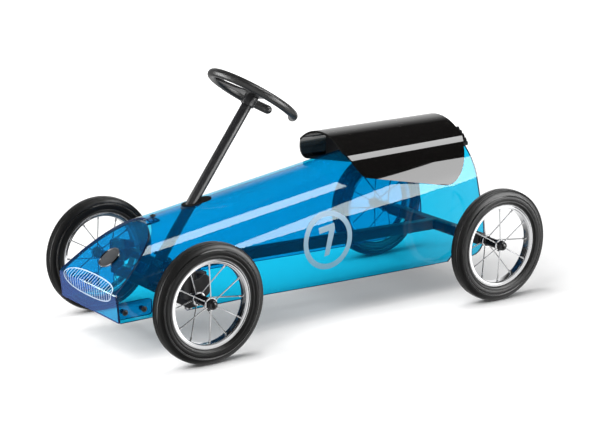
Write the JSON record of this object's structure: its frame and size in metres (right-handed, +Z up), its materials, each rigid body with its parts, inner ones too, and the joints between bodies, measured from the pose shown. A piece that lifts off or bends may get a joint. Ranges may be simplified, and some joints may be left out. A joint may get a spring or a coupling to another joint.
{
  "type": "ride-on car",
  "caption": "Foot-pushed ride-on racing car with a bent clear blue body, black arched seat, raked steering wheel and spoked wire wheels.",
  "frame": {"origin": "centre of the bounding box in plan, on the floor under the tyres", "axes": "+Z up, -Y is the way the car faces, +X is the car's left side"},
  "size_m": [0.4246, 0.9096, 0.4829],
  "materials": {
    "clear_blue": "clear tinted sheet, polished, edges that look dark",
    "seat_gloss": "high gloss black sheet",
    "support_black": "satin black plastic",
    "screw_black": "blackened steel",
    "disc_plain": "plain satin disc",
    "black_rubber": "soft matt rubber",
    "frame_black": "powder-coated, matt",
    "axle_steel": "bright steel rod",
    "cap_black": "semi-gloss moulded cap",
    "steering_black": "powder-coated, satin",
    "grip_black": "matt moulded grip",
    "tyre_rubber": "matt black rubber with fine moulded lines",
    "chrome": "bright chrome plate"
  },
  "bodies": {
    "root": {"body_shell": "clear_blue", "nose_panel": "clear_blue", "nose_screw_left_front": "screw_black", "nose_screw_left_rear": "screw_black", "nose_screw_right_front": "screw_black", "nose_screw_right_rear": "screw_black", "nose_screw_ridge": "screw_black", "nose_disc": "disc_plain", "nose_disc_ring": "chrome", "column_collar": "black_rubber", "seat": "seat_gloss", "seat_support_front": "support_black", "seat_support_rear": "support_black", "chassis_frame": "frame_black", "rear_axle": "axle_steel", "kingpin_left": "frame_black", "kingpin_right": "frame_black", "foot_bearing": "support_black", "axle_cap_rear_left": "cap_black", "axle_cap_rear_right": "cap_black"},
    "steering": {"steering_spindle": "axle_steel", "spacer_collar": "frame_black", "steering_column": "steering_black", "steering_arm": "frame_black", "steering_hub": "steering_black", "steering_ring": "grip_black"},
    "tie_bar": {"steering_bar": "frame_black"},
    "left_knuckle": {"knuckle_left": "frame_black", "stub_axle_left": "axle_steel", "axle_cap_front_left": "cap_black"},
    "right_knuckle": {"knuckle_right": "frame_black", "stub_axle_right": "axle_steel", "axle_cap_front_right": "cap_black"},
    "front_left_wheel": {"tyre_front_left": "tyre_rubber", "rim_front_left": "chrome", "hub_front_left": "chrome"},
    "front_right_wheel": {"tyre_front_right": "tyre_rubber", "rim_front_right": "chrome", "hub_front_right": "chrome"},
    "rear_left_wheel": {"tyre_rear_left": "tyre_rubber", "rim_rear_left": "chrome", "hub_rear_left": "chrome"},
    "rear_right_wheel": {"tyre_rear_right": "tyre_rubber", "rim_rear_right": "chrome", "hub_rear_right": "chrome"}
  },
  "joints": [
    {"name": "steering_turn", "type": "hinge", "parent": "root", "child": "steering", "pos_m": [0, -0.3283, 0.104], "axis": [0, 0.5868, 0.8097], "range_deg": [-33, 33]},
    {"name": "bar_slide", "type": "slide", "parent": "root", "child": "tie_bar", "axis": [1, 0, 0], "range_m": [-0.0119, 0.0119]},
    {"name": "knuckle_left_turn", "type": "hinge", "parent": "root", "child": "left_knuckle", "pos_m": [0.124, -0.3195, 0.11], "axis": [0, 0, 1], "range_deg": [-25, 25]},
    {"name": "knuckle_right_turn", "type": "hinge", "parent": "root", "child": "right_knuckle", "pos_m": [-0.124, -0.3195, 0.11], "axis": [0, 0, 1], "range_deg": [-25, 25]},
    {"name": "front_left_roll", "type": "hinge", "parent": "left_knuckle", "child": "front_left_wheel", "pos_m": [0.1905, -0.3195, 0.11], "axis": [1, 0, 0], "continuous": true},
    {"name": "front_right_roll", "type": "hinge", "parent": "right_knuckle", "child": "front_right_wheel", "pos_m": [-0.1905, -0.3195, 0.11], "axis": [1, 0, 0], "continuous": true},
    {"name": "rear_left_roll", "type": "hinge", "parent": "root", "child": "rear_left_wheel", "pos_m": [0.192, 0.3445, 0.11], "axis": [1, 0, 0], "continuous": true},
    {"name": "rear_right_roll", "type": "hinge", "parent": "root", "child": "rear_right_wheel", "pos_m": [-0.192, 0.3445, 0.11], "axis": [1, 0, 0], "continuous": true}
  ],
  "couplings": [
    {"joint": "bar_slide", "follows": "steering_turn", "m_per_rad": -0.020487},
    {"joint": "knuckle_left_turn", "follows": "steering_turn", "ratio": 0.7575},
    {"joint": "knuckle_right_turn", "follows": "steering_turn", "ratio": 0.7575}
  ]
}
